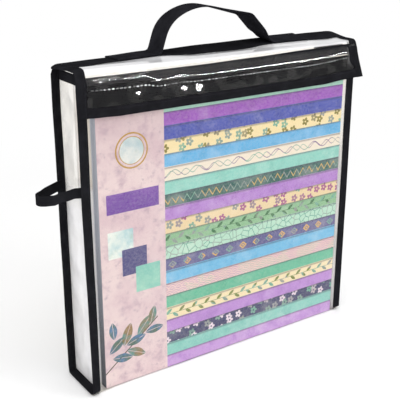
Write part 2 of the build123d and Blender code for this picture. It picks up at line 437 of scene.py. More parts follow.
def choose(mode, test):
    """In edit mode, select the vertices, edges or faces that pass a test."""
    bpy.ops.mesh.select_mode(type=mode)
    bpy.ops.mesh.select_all(action="DESELECT")
    shape = bmesh.from_edit_mesh(bpy.context.object.data)
    for part in {"VERT": shape.verts, "EDGE": shape.edges, "FACE": shape.faces}[mode]:
        part.select_set(bool(test(part)))
    shape.select_flush_mode()
    bmesh.update_edit_mesh(bpy.context.object.data)


def only(*pieces):
    """Select these pieces alone, with the first one active."""
    bpy.ops.object.select_all(action="DESELECT")
    for piece in pieces:
        piece.select_set(True)
    bpy.context.view_layer.objects.active = pieces[0]


def use(piece, kind, **settings):
    """Add a modifier, set it up and apply it."""
    only(piece)
    modifier = piece.modifiers.new(kind.lower(), kind)
    for name, value in settings.items():
        setattr(modifier, name, value)
    bpy.ops.object.modifier_apply(modifier=modifier.name)
    return piece


def join(pieces):
    """Make one piece of several."""
    only(*pieces)
    if len(pieces) > 1:
        bpy.ops.object.join()
    return pieces[0]


def dress(piece, material, angle=40):
    """Give a piece its finish and its shading."""
    piece.data.materials.clear()
    piece.data.materials.append(material)
    only(piece)
    bpy.ops.object.shade_smooth_by_angle(angle=math.radians(angle))
    return piece


print("helpers to start, pick, apply and dress")

# %% Helpers: lines and bends
tape_step = 3 * MM


def walk(here, heading, moves, step):
    """Points along a line drawn in the plane: each move is (length, 0) or (radius, turn in degrees)."""
    here, heading = Vector((*here, 0)), math.radians(heading)
    points = [here.copy()]
    for size, turn in moves:
        turn = math.radians(turn)
        length = abs(turn) * size if turn else size
        count = max(3, round(length / step))
        stride = 2 * size * math.sin(abs(turn) / count / 2) if turn else length / count
        for _ in range(count):
            heading += turn / count / 2
            here = here + Vector((math.cos(heading), math.sin(heading), 0)) * stride
            heading += turn / count / 2
            points.append(here.copy())
    return points


def straight(length):
    """Points along a straight line."""
    return walk((0, 0), 0, [(length, 0)], tape_step)


def line_length(points):
    return sum((b - a).length for a, b in zip(points, points[1:]))


def bend(piece, points, right, up, at=(0, 0, 0)):
    """Bend a flat piece along points, then turn the drawing plane into the case's frame."""
    drawn = bpy.data.curves.new("seam line", "CURVE")
    drawn.dimensions = "2D"
    spline = drawn.splines.new("POLY")
    spline.points.add(len(points) - 1)
    for knot, point in zip(spline.points, points):
        knot.co = (*point, 1)
    line = bpy.data.objects.new("seam line", drawn)
    bpy.context.scene.collection.objects.link(line)
    use(piece, "CURVE", object=line, deform_axis="POS_X")
    bpy.data.objects.remove(line)
    right, up = Vector(right), Vector(up)
    turned = Matrix((right, up, right.cross(up))).transposed().to_4x4()
    piece.matrix_world = Matrix.Translation(at) @ turned
    bpy.ops.object.transform_apply(location=True, rotation=True, scale=True)
    return piece


print("seam lines are drawn in steps of", tape_step, "m")


# %% Helpers: flat tape and sheets
def draw_map(piece):
    """A map in metres, along and across a tape that still lies flat."""
    layer = piece.data.uv_layers.active or piece.data.uv_layers.new(name="UVMap")
    for corner in piece.data.loops:
        at = piece.data.vertices[corner.vertex_index].co
        layer.data[corner.index].uv = (at.x, at.z + at.y)


def block(name, at, size):
    """A plain box with its middle at a place."""
    return start(bpy.ops.mesh.primitive_cube_add, name, size=1, location=at, scale=size)


def flat_tape(name, length, width, thickness, step, round_low, round_high):
    """A straight strip along X, its width along Z, with its lower and upper edges rounded."""
    piece = block(name, (length / 2, 0, 0), (length, thickness, width))
    bpy.ops.object.mode_set(mode="EDIT")
    choose("EDGE", lambda e: abs(e.verts[0].co.x - e.verts[1].co.x) > length / 2)
    # Subdivide makes at most 100 cuts, so the longest tapes have longer steps.
    bpy.ops.mesh.subdivide(number_cuts=max(1, round(length / step)))
    for edge, radius in ((-width / 2, round_low), (width / 2, round_high)):
        choose("EDGE", lambda e: all(abs(v.co.z - edge) < 1e-6 for v in e.verts)
               and abs(e.verts[0].co.y - e.verts[1].co.y) < 1e-6)
        bpy.ops.mesh.bevel(offset=radius, segments=3, affect="EDGES")
    bpy.ops.object.mode_set(mode="OBJECT")
    draw_map(piece)
    return piece


def standing_grid(name, at, width, tall, step_along, step_up):
    """A grid that stands along X, with its middle at a place."""
    return start(
        bpy.ops.mesh.primitive_grid_add,
        name,
        x_subdivisions=round(width / step_along),
        y_subdivisions=round(tall / step_up),
        size=1,
        location=at,
        rotation=(math.pi / 2, 0, 0),
        scale=(width, tall, 1),
    )


def flat_sheet(name, length, width, step_along, step_across):
    """A straight grid along X from the origin, its width along Z, with its map."""
    piece = standing_grid(name, (length / 2, 0, 0), length, width, step_along, step_across)
    draw_map(piece)
    return piece


print("helpers for tape and sheets ready")

# %% Helpers: thread and wander
stitch_pitch = 4.2 * MM
stitch_length = 3.0 * MM
stitch_radius = 0.4 * MM
sway_shifts = [Vector((3.1, 0, 0)), Vector((0, 5.7, 0)), Vector((0, 0, 8.3))]
tape_sway = 0.35 * MM
tape_spread = 45 * MM


def flat_stitches(name, length, rows):
    """Rows of thread along X. Each row is (offset across the tape, height of its face)."""
    runs = []
    for across, face in rows:
        run = start(
            bpy.ops.mesh.primitive_ico_sphere_add,
            name,
            subdivisions=1,
            radius=1,
            location=(stitch_pitch, face, across),
            scale=(stitch_length / 2, stitch_radius, stitch_radius),
        )
        use(
            run,
            "ARRAY",
            count=int(length / stitch_pitch) - 1,
            use_relative_offset=False,
            use_constant_offset=True,
            constant_offset_displace=(stitch_pitch, 0, 0),
        )
        runs.append(run)
    draw_map(join(runs))
    return runs[0]


def sway(piece):
    """Let a soft piece wander a little, by a smooth noise of its place, the same in each run."""
    for vertex in piece.data.vertices:
        at = vertex.co / tape_spread
        vertex.co += tape_sway * Vector([noise.noise(at + shift) for shift in sway_shifts])


print("a stitch every", stitch_pitch, "m")

# %% [markdown]
# ## Bindings of the two sides
#
# On the real case one length of tape is folded over each side seam: down the front, round the
# bottom corner, along the base and up the back. Here it is a flat strip with a round folded edge,
# stitched flat, then bent on that line. Bending a finished strip keeps the weave along the seam.

# %% Folded tape
seam_inset = 2.0 * MM
soft_edge = 0.3 * MM
folded_edge = 0.98 * fold / 2


def folded_tape(name, length, side, step):
    """Flat binding tape, its fold at its lower (-1) or upper (1) edge, and its two rows of thread."""
    low, high = (folded_edge, soft_edge) if side < 0 else (soft_edge, folded_edge)
    tape = flat_tape(name, length, tape_width, fold, step, low, high)
    inner = -side * (tape_width / 2 - seam_inset)
    rows = [(inner, fold / 2), (inner, -fold / 2)]
    return tape, flat_stitches(f"{name}_stitches", length, rows)


def round_corner(piece, at_x, radius, edge):
    """Round one end of a flat tape at its folded edge."""
    for vertex in piece.data.vertices:
        inward = radius - abs(vertex.co.x - at_x)
        if inward > 0:
            narrower = radius - math.sqrt(max(0.0, radius**2 - inward**2))
            share = 1 - narrower / tape_width
            vertex.co.z = edge * ((vertex.co.z * edge + tape_width / 2) * share - tape_width / 2)


def lay(tape, thread, line, right, up, at, shape=None):
    """Bend a tape and its thread along a line, shape them, let them wander and give each its finish."""
    for piece, material in ((tape, tape_cloth), (thread, thread_cloth)):
        bend(piece, line, right, up, at)
        if shape:
            shape(piece)
        sway(piece)
        dress(piece, material)


print("fold", round(fold, 4), "m thick, seam", seam_inset, "m from its edge")

# %% Lean of the left side
pull_height = 220 * MM
front_turn, low_turn, rear_turn = 5, 10, 14
front_shift, rear_shift = 2.0, 1.0
rear_from, rear_to = -20 * MM, 20 * MM
left_from, left_to = -120 * MM, -159 * MM


def ease(value, first, last):
    """From 0 at first to 1 at last, with a gentle start and end."""
    share = min(1.0, max(0.0, (value - first) / (last - first)))
    return share * share * (3 - 2 * share)


def lean(piece):
    """Turn the left seams to the front, most at the bottom, as the loaded case pulls them."""
    for vertex in piece.data.vertices:
        at = vertex.co
        low = 1 - ease(at.z, 0, pull_height)
        rear = ease(at.y, rear_from, rear_to)
        turn = math.radians((front_turn + low_turn * low) * (1 - rear) + rear_turn * rear)
        shift = (front_shift * low * (1 - rear) + rear_shift * rear) * MM * ease(at.x, left_from, left_to)
        out = max(0.0, -half_width - at.x)
        vertex.co = at + Vector((out * (1 - math.cos(turn)), -out * math.sin(turn) - shift, 0))


print("left seams turn up to", front_turn + low_turn, "degrees")

# %% Side bindings
side_names = {"left": -1, "right": 1}
base_z = fold / 2
corner_round = 3.2 * MM
end_round = 3 * MM
back_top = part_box("back_left_rim")[1].z
side_line = walk(
    (front_y, rim_high.z),
    -90,
    [
        (rim_high.z - base_z - corner_round, 0),
        (corner_round, 90),
        (back_y - front_y - 2 * corner_round, 0),
        (corner_round, 90),
        (back_top - base_z - corner_round, 0),
    ],
    tape_step,
)
side_length = line_length(side_line)
for name, side in side_names.items():
    binding, thread = folded_tape(f"{name}_binding", side_length, side, tape_step)
    round_corner(binding, side_length, end_round, side)
    middle_x = side * (half_width + tape_width / 2)
    lay(binding, thread, side_line, (0, 1, 0), (0, 0, 1), (middle_x, 0, 0), lean if side < 0 else None)
    for piece in (binding, thread):
        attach(piece, "case")
    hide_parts(f"front_{name}_rim", f"base_{name}_rim", f"back_{name}_rim")
print("side bindings", round(side_length, 3), "m each")

# %% [markdown]
# ## The long sheet of the body
#
# Front, base and back are one sheet of vinyl, folded round the pad, and it goes on over the rear
# edge into the flap. A fine grid is bent along that line, and then bulged a little between its
# seams, because vinyl is never quite flat. Its corners at the rear edge are tucked under the hems.

# %% Line of the body
fold_round = 3 * MM
sheet_end = (band_low.y + band_high.y) / 2
body_line = walk(
    (front_y, front_high.z),
    -90,
    [
        (front_high.z - sheet / 2 - fold_round, 0),
        (fold_round, 90),
        (back_y - front_y - 2 * fold_round, 0),
        (fold_round, 90),
        (flap_z - sheet / 2 - 2 * fold_round, 0),
        (fold_round, 90),
        (back_y - fold_round - sheet_end, 0),
    ],
    2 * MM,
)
body_length = line_length(body_line)
body_width = front_high.x - front_low.x
print("body sheet", round(body_width, 3), "x", round(body_length, 3), "m")

# %% Bulge and mouth
bulge_spread = 60 * MM
mouth_rise = [(-169, 1.2), (-43, 0.5), (30, 1.3), (100, 2.2), (153, 3.0), (169, 3.0)]
mouth_out = 0.7 * MM
mouth_from, mouth_to = 300 * MM, 319 * MM


def bulge(at):
    """How far the body's vinyl stands out at a place on the front or back."""
    share_x = max(0.0, 1 - (at.x / half_width) ** 2)
    share_z = max(0.0, math.sin(math.pi * min(1, at.z / front_high.z)))
    waves = 0.5 + 0.5 * noise.noise(Vector((at.x, at.z, 0)) / bulge_spread)
    return share_x * share_z * (0.5 + waves) * MM


def between(knots, place):
    """A smooth line through knots of (place, value), in order."""
    for (first, low), (last, high) in zip(knots, knots[1:]):
        if place <= last:
            return low + (high - low) * ease(place, first, last)
    return knots[-1][1]


def raise_mouth(piece):
    """The front edge of the mouth stands up, most at its right end, and leans out, clear of the pad."""
    for vertex in piece.data.vertices:
        if vertex.co.y < 0:
            rise = between(mouth_rise, vertex.co.x / MM) * MM
            vertex.co += Vector((0, -mouth_out, rise)) * ease(vertex.co.z, mouth_from, mouth_to)


print("mouth rises by up to", max(rise for _, rise in mouth_rise), "mm")

# %% Body sheet
tuck_share = 0.85
tuck_from, tuck_to = back_top - 8 * MM, back_top - 2 * MM
body_sheet = flat_sheet("body_sheet", body_length, body_width, 3 * MM, 6 * MM)
bend(body_sheet, body_line, (0, 1, 0), (0, 0, 1))
for vertex in body_sheet.data.vertices:
    if abs(abs(vertex.co.y) - back_y) < sheet:
        vertex.co.y += math.copysign(bulge(vertex.co), vertex.co.y)
lean(body_sheet)
raise_mouth(body_sheet)
for vertex in body_sheet.data.vertices:
    if vertex.co.y > 0:
        beyond = max(0.0, abs(vertex.co.x) - half_width + 1 * MM)
        tuck = tuck_share * ease(vertex.co.z, tuck_from, tuck_to)
        vertex.co.x -= math.copysign(beyond * tuck, vertex.co.x)
use(body_sheet, "SOLIDIFY", thickness=sheet, offset=0)
dress(body_sheet, wrap_vinyl)
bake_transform(body_sheet)
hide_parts("front_panel", "base_panel", "back_panel")

# %% [markdown]
# ## Gussets
#
# The narrow sides are loose strips of the same vinyl, a little too wide for their place, so they
# buckle. A cloth simulation does what sewing did: the edges are pinned, the sheet grows by a
# fraction of a percent, and it finds its own creases.

# %% Cloth for the gussets
gusset_low, gusset_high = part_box("left_gusset")
gusset_depth = gusset_high.y - gusset_low.y
gusset_tall = gusset_high.z - gusset_low.z
gusset_growth = 0.002
cloth_frames = 24
cloth_values = {
    "quality": 6,
    "mass": 0.2,
    "tension_stiffness": 40,
    "compression_stiffness": 40,
    "shear_stiffness": 20,
    "bending_stiffness": 6.0,
    "vertex_group_mass": "seam",
    "shrink_min": -gusset_growth,
}


def buckle(piece):
    """Grow a pinned sheet in a cloth simulation, so that it creases, and keep the result."""
    cloth = piece.modifiers.new("cloth", "CLOTH")
    for name, value in cloth_values.items():
        setattr(cloth.settings, name, value)
    cloth.settings.effector_weights.gravity = 0.0
    cloth.point_cache.frame_start = 1
    cloth.point_cache.frame_end = cloth_frames
    for number in range(1, cloth_frames + 1):
        bpy.context.scene.frame_set(number)
    only(piece)
    bpy.ops.object.modifier_apply(modifier=cloth.name)
    bpy.context.scene.frame_set(1)


print("gussets", round(gusset_depth, 3), "x", round(gusset_tall, 3), "m")

# %% Gussets
pinned_edge = 0.7 * MM
waver_spread = 40 * MM
waver_depth = 0.6
for name, side in side_names.items():
    gusset = flat_sheet(f"{name}_gusset_sheet", gusset_tall, gusset_depth, 4 * MM, 3 * MM)
    gusset.matrix_world = Matrix((
        (0, 1, 0, side * (half_width - sheet / 2)),
        (0, 0, 1, 0),
        (1, 0, 0, gusset_low.z),
        (0, 0, 0, 1),
    ))
    bpy.ops.object.transform_apply(location=True, rotation=True, scale=True)
    seam = gusset.vertex_groups.new(name="seam")
    for vertex in gusset.data.vertices:
        at = vertex.co
        inside = min(gusset_depth / 2 - abs(at.y), at.z - gusset_low.z, gusset_high.z - at.z)
        if inside < pinned_edge:
            seam.add([vertex.index], 1.0, "REPLACE")
        else:
            waver = noise.noise(Vector((side, at.y, at.z)) / waver_spread)
            at.x += side * (waver + 0.2) * waver_depth * MM
    buckle(gusset)
    gusset.vertex_groups.clear()
    if side < 0:
        lean(gusset)
    use(gusset, "SUBSURF", levels=1, render_levels=1)
    use(gusset, "SOLIDIFY", thickness=sheet, offset=0)
    dress(gusset, gusset_vinyl)
    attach(gusset, "case")
    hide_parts(f"{name}_gusset")
    depth = max(abs(v.co.x - side * half_width) for v in gusset.data.vertices)
    print(gusset.name, "creases up to", round(depth / MM, 1), "mm deep")

# %% [markdown]
# ## Hems of the mouth
#
# The top edges of the two sides and of the front are bound with the same folded tape. They are
# straight, so they are bent along straight lines, and only sway a little.


# %% Mouth hems
def straight_hem(name, low, high, upward, body, node):
    """Folded tape over a straight edge that runs from low to high, its fold towards upward."""
    low, high, upward = Vector(low), Vector(high), Vector(upward)
    run = high - low
    right = run.normalized()
    hem, thread = folded_tape(name, run.length, 1, tape_step)
    lay(hem, thread, straight(run.length), right, upward.cross(right), low - upward * tape_width / 2)
    for piece in (hem, thread):
        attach(piece, body)
    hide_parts(node)
    return hem, thread


upward = (0, 0, 1)
for name in side_names:
    low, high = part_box(f"{name}_gusset_hem")
    hem_x = (low.x + high.x) / 2
    ends = (hem_x, low.y, high.z), (hem_x, high.y, high.z)
    straight_hem(f"{name}_side_hem", *ends, upward, "case", f"{name}_gusset_hem")
low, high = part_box("mouth_hem")
ends = (low.x, front_y, high.z), (high.x, front_y, high.z)
for piece in straight_hem("front_mouth_hem", *ends, upward, "case", "mouth_hem"):
    raise_mouth(piece)
print("mouth hems done")

# %% [markdown]
# ## The flap
#
# The flap's vinyl runs from under the handle's band over a round fold and down into the lip. It is
# bent from a flat grid like the body. Filled from below, it stands up here and there between its
# seams, so one small function lifts every piece that lies on the flap by the same amount.

# %% Flap shape
over_fold = [(4.5 * MM, 74), (8.3 * MM, 0), (8 * MM, 12), (3 * MM, 4)]
fold_end = walk((0, 0), 180, over_fold, 0.5 * MM)[-1]
flap_drop = -fold_end.y
fold_start = lip_y - fold_end.x
lift_rows = [
    (27, [(-169, -0.5), (-110, 0.2), (-70, 1.4), (0, 2.6), (60, 3.0), (130, 2.8), (179, 2.2)]),
    (2, [(-169, 1.6), (-150, -0.6), (-118, 0.7), (-66, 1.6), (-20, -0.9), (31, -1.4), (76, 0.8),
         (110, 0.5), (154, -0.9), (179, -0.6)]),
    (-14, [(-169, 3.2), (-150, 2.4), (-60, 0.8), (0, -0.2), (179, -0.9)]),
]
crease_shift = [(-169, 5.5), (-137, 4.5), (-100, 4.0), (-84, -1.5), (-62, 0.0), (-40, -2.2), (102, -2.2),
                (130, -0.3), (150, 1.2), (179, 1.5)]
lip_shift = [(-169, 0), (-145, -1.6), (-125, -2.6), (120, -2.8), (150, -1.0), (179, 0)]
shift_levels = (-322, -313, -303)


def lift(x, y):
    """How far the soft flap stands above the flat one, from its edges on the photo."""
    rows = [(-depth, between(row, x / MM)) for depth, row in lift_rows]
    return between(rows, -y / MM) * MM


def sink(x, z):
    """How far the crease and the lip hang away from the straight ones, from their lines on the photo."""
    shifts = (0, between(crease_shift, x / MM), between(lip_shift, x / MM))
    return between(list(zip(shift_levels, shifts)), -z / MM) * MM


print("fold from", round(fold_start, 4), "drops", round(flap_drop, 4))

# %% Drape
corner_droop = 1.8 * MM
top_depth = 14 * MM
free_from, free_to = half_width - 6 * MM, half_width + 12 * MM
pull_from, pull_to = 12 * MM, -18 * MM
pull_left, pull_back = 4.0 * MM, 7.0 * MM


def drape(piece):
    """Move a piece of the straight flap to its place on the soft one."""
    for vertex in piece.data.vertices:
        at = vertex.co
        top = ease(at.z, flap_z - top_depth, flap_z)
        droop = corner_droop * ease(at.x, flap_low.x + tape_width, flap_low.x)
        hang = min(1.0, max(0.0, (at.z - lip_bottom) / (flap_z - flap_drop - lip_bottom)))
        pull = ease(at.x, free_from, free_to) * hang * ease(at.y, pull_from, pull_to)
        rise = (lift(at.x, at.y) - droop) * top + sink(at.x, at.z)
        vertex.co = at + Vector((-pull_left * pull, pull_back * pull, rise))


print("the flap's free end is pulled back by", pull_back, "m")

# %% Dents and ripples of the lip
facets = [
    (-137, 316.9, 17, 1.3), (-106, 316.3, 8, 1.3), (-84, 310.7, 5, 1.0), (-55, 311.8, 10, 1.3),
    (-107, 301.8, 4.0, 3.6), (-57, 300.3, 4.6, 3.8), (-40, 298.5, 5.0, 5.6), (-80, 303.0, 1.8, 3.4),
    (-103, 295.5, 2.2, 1.6),
]
facet_slope = math.tan(math.radians(9))
facet_inner, facet_outer = 0.85, 1.45
facet_reach, facet_room = 0.9, 0.2
ripple_depth = 0.8
ripple_long, ripple_tall = 17 * MM, 12 * MM


def lip_ripple(piece):
    """Waves of the lip's loose vinyl, strongest at its left."""
    for vertex in piece.data.vertices:
        at = vertex.co
        if at.y < fold_start:
            up_share = min(1, max(0, (at.z - lip_bottom) / (flap_z - lip_bottom)))
            slack = max(0.0, math.sin(math.pi * up_share))
            left = 1.0 - 0.9 * ease(at.x, -60 * MM, 0)
            wave = noise.noise(Vector((at.x / ripple_long, at.z / ripple_tall, 3.1)))
            at.y += slack * left * ripple_depth * MM * wave


def dent(piece):
    """Small flat dents that turn a bit of the lip up to the light, clear of the hooks behind."""
    for vertex in piece.data.vertices:
        at = vertex.co
        if at.y < fold_start:
            for x, z, long, tall in facets:
                away = math.hypot((at.x - x * MM) / (long * MM), (at.z - z * MM) / (tall * MM))
                inside = 1 - ease(away, facet_inner, facet_outer)
                out = max(0.0, facet_slope * facet_reach * tall - facet_room) * MM
                at.y += inside * (lip_y - out + facet_slope * (at.z - z * MM) - at.y)


print("dents in the lip", len(facets))

# %% Flap sheet
flap_step = 2 * MM
flap_line = walk(
    (sheet_end, flap_z),
    180,
    [(sheet_end - fold_start, 0), *over_fold, (flap_z - flap_drop - lip_bottom - sheet, 0)],
    flap_step,
)
flap_length = line_length(flap_line)
flap_width = lip_high.x - lip_low.x
flap_sheet = flat_sheet("flap_sheet", flap_length, flap_width, 0.9 * MM, 1.8 * MM)
bend(flap_sheet, flap_line, (0, 1, 0), (0, 0, 1), (flap_middle, 0, 0))
lip_ripple(flap_sheet)
drape(flap_sheet)
dent(flap_sheet)
use(flap_sheet, "SOLIDIFY", thickness=sheet, offset=0)
dress(flap_sheet, flap_vinyl)
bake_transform(flap_sheet)
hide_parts("top_panel", "lip_panel")
print("flap sheet", round(flap_width, 3), "x", round(flap_length, 3), "m")

# %% [markdown]
# ## Hems of the flap and lip
#
# The two free ends of the flap are bound by one length of tape each, from the rear edge over the
# fold to the lower edge of the lip. They follow the flap's own line and its swell.

# %% End hems
rear_round = 6 * MM
end_line = walk(
    (flap_high.y, flap_z),
    180,
    [(flap_high.y - fold_start, 0), *over_fold, (flap_z - flap_drop - lip_bottom, 0)],
    flap_step,
)
end_length = line_length(end_line)
for name, side in side_names.items():
    end_x = flap_middle + side * (flap_right - flap_low.x) / 2
    hem, thread = folded_tape(f"{name}_end_hem", end_length, side, flap_step)
    round_corner(hem, 0, rear_round, side)
    lay(hem, thread, end_line, (0, 1, 0), (0, 0, 1), (end_x - side * tape_width / 2, 0, 0), drape)
    for piece in (hem, thread):
        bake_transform(piece)
    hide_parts(f"{name}_flap_hem", f"{name}_lip_hem")
low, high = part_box("lip_hem")
ends = (high.x, lip_y, lip_bottom), (low.x, lip_y, lip_bottom)
for piece in straight_hem("lower_lip_hem", *ends, (0, 0, -1), "lip", "lip_hem"):
    drape(piece)
print("end hems", round(end_length, 3), "m each")

# %% [markdown]
# ## Hook and loop tape
#
# The closure is two tapes: soft loops on the front panel and small hooks under the lip. Each is a
# flat strip whose face is pushed in and out by noise, so that it reads as pile when the lip is up.

# %% Closure tapes
pile_step = 1.6 * MM
pile_spread = 1.9 * MM


def pile_tape(name, node, face, body, material, roughness):
    """Closure tape in the place of its solid, with its pile towards the side of face."""
    low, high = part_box(node)
    middle, size = (low + high) / 2, high - low
    strip = standing_grid(name, middle, size.x, size.z, pile_step, pile_step)
    draw_map(strip)
    use(strip, "SOLIDIFY", thickness=size.y, offset=0)
    for vertex in strip.data.vertices:
        if (vertex.co.y - middle.y) * face > 0:
            vertex.co.y -= face * roughness * (0.5 + 0.5 * noise.noise(vertex.co / pile_spread))
    dress(strip, material, 180)
    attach(strip, body)
    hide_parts(node)
    return strip


pile_tape("loop_strip", "loop_tape", -1, "case", pile_cloth, 0.7 * MM)
drape(pile_tape("hook_strip", "hook_tape", 1, "lip", hook_cloth, 0.5 * MM))
print("closure tapes done")

# %% Row of thread on the lip
low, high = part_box("lip_stitches")
row_length = high.x - low.x
lip_row = flat_stitches("lip_row_stitches", row_length, [(0, 0)])
bend(lip_row, straight(row_length), (1, 0, 0), (0, 0, 1), (low.x, lip_low.y, (low.z + high.z) / 2))
lip_ripple(lip_row)
drape(lip_row)
dress(lip_row, nylon_with_painted_glints)
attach(lip_row, "lip")
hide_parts("lip_stitches")
print("lip row", round(row_length, 3), "m")

# %% [markdown]
# ## Band and handle
#
# A wide tape across the rear of the flap carries the handle. The handle is one strap of webbing:
# sewn flat at the left, standing up into an arch, and kinked on its way down at the right. It is
# made flat, twisted a little, and bent along its arch with its two sewn ends.

# %% Band
band_length, band_width, band_thick = (band_high[axis] - band_low[axis] for axis in range(3))
band_middle = Vector((band_low.x, sheet_end, (band_low.z + band_high.z) / 2))
band = flat_tape(
    "handle_band_tape", band_length, band_width, band_thick, tape_step, soft_edge, soft_edge
)
inner = band_width / 2 - seam_inset
rows = [(inner, band_thick / 2), (-inner, band_thick / 2)]
band_thread = flat_stitches("handle_band_stitches", band_length, rows)
lay(band, band_thread, straight(band_length), (1, 0, 0), (0, 0, 1), band_middle, drape)
for piece in (band, band_thread):
    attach(piece, "flap")
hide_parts("handle_band")
print("band", round(band_length, 3), "m")

# %% Handle
end_low, end_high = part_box("left_handle_end")
webbing = end_high.z - end_low.z
webbing_width = end_high.y - end_low.y
webbing_spread = 1.2 * MM
webbing_edge = 0.5 * MM
foot_z = band_high.z + webbing / 2
sewn_end = 44 * MM
handle_moves = [(44.68, 0), (4, 75.16), (14.14, 0), (30.04, -45), (55.61, -37.41), (58.83, -6.07),
                (45.97, 0), (9, -30.2), (37.19, 0), (8.97, 43.52)]
handle_line = walk(
    (end_low.x, foot_z), 0, [*((size * MM, turn) for size, turn in handle_moves), (sewn_end, 0)], 2 * MM
)
handle_length = line_length(handle_line)
strap_width = webbing_width + webbing_spread
strap = flat_tape(
    "webbing_handle", handle_length, strap_width, webbing, 2 * MM, webbing_edge, webbing_edge
)
twist = math.radians(-6)
twist_in, twist_out = (0.496, 0.688), (0.752, 0.795)
for vertex in strap.data.vertices:
    along = vertex.co.x / handle_length
    share = ease(along, *twist_in) - ease(along, *twist_out)
    vertex.co = Matrix.Rotation(twist * share, 3, "X") @ vertex.co
bend(strap, handle_line, (1, 0, 0), (0, 0, 1), (0, sheet_end, 0))
print("handle", round(handle_length, 3), "m, ends at", [round(v, 4) for v in handle_line[-1]])

# %% Lean of the handle
mean_lift = 1.7 * MM
arch_lean = -0.119
sewn_height = 12 * MM
for vertex in strap.data.vertices:
    above = vertex.co.z - foot_z - webbing
    vertex.co.y += arch_lean * max(0.0, above)
    sewn = 1 - ease(above, 0, sewn_height)
    vertex.co.z += lift(vertex.co.x, vertex.co.y) * sewn + mean_lift * (1 - sewn)
dress(strap, strap_cloth)
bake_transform(strap)
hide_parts("handle_strap", "left_handle_end", "right_handle_end")

# %% [markdown]
# ## Thread of the handle
#
# Each sewn end of the handle has a box of stitches near its edge. The rows are copied along the
# two long edges and the two short ones.


# %% Handle stitches
def sewn_row(length, across, right, at):
    """One row of thread on a sewn end."""
    row = flat_stitches("row", length, [(across, webbing / 2)])
    return bend(row, straight(length), right, (0, 0, 1), at)


boxes = []
for side, tip in ((-1, handle_line[0].x), (1, handle_line[-1].x)):
    near = tip - side * sewn_end
    for offset in (-1, 1):
        across = offset * (webbing_width / 2 - seam_inset)
        boxes.append(sewn_row(abs(near - tip), across, (1, 0, 0), (min(near, tip), sheet_end, foot_z)))
    for end_x in (tip - side * seam_inset, near):
        boxes.append(sewn_row(webbing_width, 0, (0, 1, 0), (end_x, sheet_end - webbing_width / 2, foot_z)))
handle_thread = join(boxes)
handle_thread.name = handle_thread.data.name = "handle_end_stitches"
drape(handle_thread)
dress(handle_thread, thread_cloth)
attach(handle_thread, "flap")
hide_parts("handle_stitches")
print("handle stitches", len(handle_thread.data.polygons), "faces")

# %% [markdown]
# ## Side strap
#
# A loop of folded tape is caught in the two left seams at about two thirds of the height. It stands
# out to the left, pinched at its tip, and droops from its front end.

# %% Side strap
loop_low, loop_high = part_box("side_strap")
loop_x = loop_high.x
loop_thick = 2 * 0.9 * MM
loop_front = -27.9 * MM
loop_step = 1.5 * MM
loop_edge = 0.5 * MM
leg_turn, leg_length, tip_round = 30.8, 44.3 * MM, 5.8 * MM
loop_moves = [(leg_length, 0), (tip_round, 2 * leg_turn - 180), (leg_length, 0)]
loop_line = walk((loop_x, loop_front), 180 - leg_turn, loop_moves, loop_step)
loop_length = line_length(loop_line)
side_loop = flat_tape(
    "side_loop_tape", loop_length, loop_high.z - loop_low.z, loop_thick, loop_step, loop_edge, loop_edge
)
loop_droop = [(0, 6), (0.12, 5.5), (0.24, 2.4), (0.34, -1.2), (0.42, -1.8), (0.6, -1), (0.7, 0), (1, 0)]
for vertex in side_loop.data.vertices:
    vertex.co.z += between(loop_droop, vertex.co.x / loop_length) * MM
bend(side_loop, loop_line, (1, 0, 0), (0, 1, 0), (0, 0, (loop_low.z + loop_high.z) / 2))
dress(side_loop, tape_cloth)
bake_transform(side_loop)
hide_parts("side_strap")
print("side strap", round(loop_length, 3), "m")

# %% [markdown]
# ## Paper pad
#
# The pad is a block of sheets with a printed cover and a grey board. The block is cut into thin
# layers, and each layer is shifted by a hair, because a stack of sheets is never quite flush.

# %% Paper block
sheets_low, sheets_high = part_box("pad_sheets")
paper_block = block("paper_block", (sheets_low + sheets_high) / 2, sheets_high - sheets_low)
layers = 48
layer_shift = 0.35
bpy.ops.object.mode_set(mode="EDIT")
choose("EDGE", lambda e: abs(e.verts[0].co.y - e.verts[1].co.y) > 10 * MM)
bpy.ops.mesh.subdivide(number_cuts=2 * layers - 1)
bpy.ops.object.mode_set(mode="OBJECT")
shuffle = random.Random(12)
layer_depth = (sheets_high.y - sheets_low.y) / (2 * layers)
shifts = []
for _ in range(2 * layers + 1):
    shifts.append(Vector((shuffle.uniform(-1, 1), 0, shuffle.uniform(-1.0, 0))) * layer_shift * MM)
for vertex in paper_block.data.vertices:
    vertex.co += shifts[round((vertex.co.y - sheets_low.y) / layer_depth) // 2 * 2]
print("paper block", len(paper_block.data.polygons), "faces")

# %% Paper material
paper_edges, tree, out = new_material("paper edges")
x, y, z = split(tree, put(tree, "TexCoord").outputs["Object"])


def leaves_of(waves, detail):
    """A noise that changes from sheet to sheet of the block, by waves to a metre."""
    feeds = {"Scale": 1.0, "Detail": detail}
    made = put(tree, "TexNoise", feeds, noise_dimensions="1D")
    tree.links.new((y * waves).socket, made.inputs["W"])
    return Value(tree, made.outputs[0])


leaf_mask, hue_mask = leaves_of(2600.0, 1.0), leaves_of(900.0, 0.0)
cream = tint(tree, leaf_mask.ramp(0.35, 0.65), ink("f3f4fa"), ink("ffffff"))
toned = tint(tree, hue_mask.ramp(0.56, 0.66, 0, 0.3), cream, ink("dcd4e8"))
# From just above the side strap to near the top, the sheets' edges are tinted beige.
beige_band = z.ramp(208 * MM, 216 * MM) * z.ramp(300 * MM, 304 * MM, 1.0, 0.0)
toned = tint(tree, beige_band * 0.8, toned, ink("d8d0c6"))
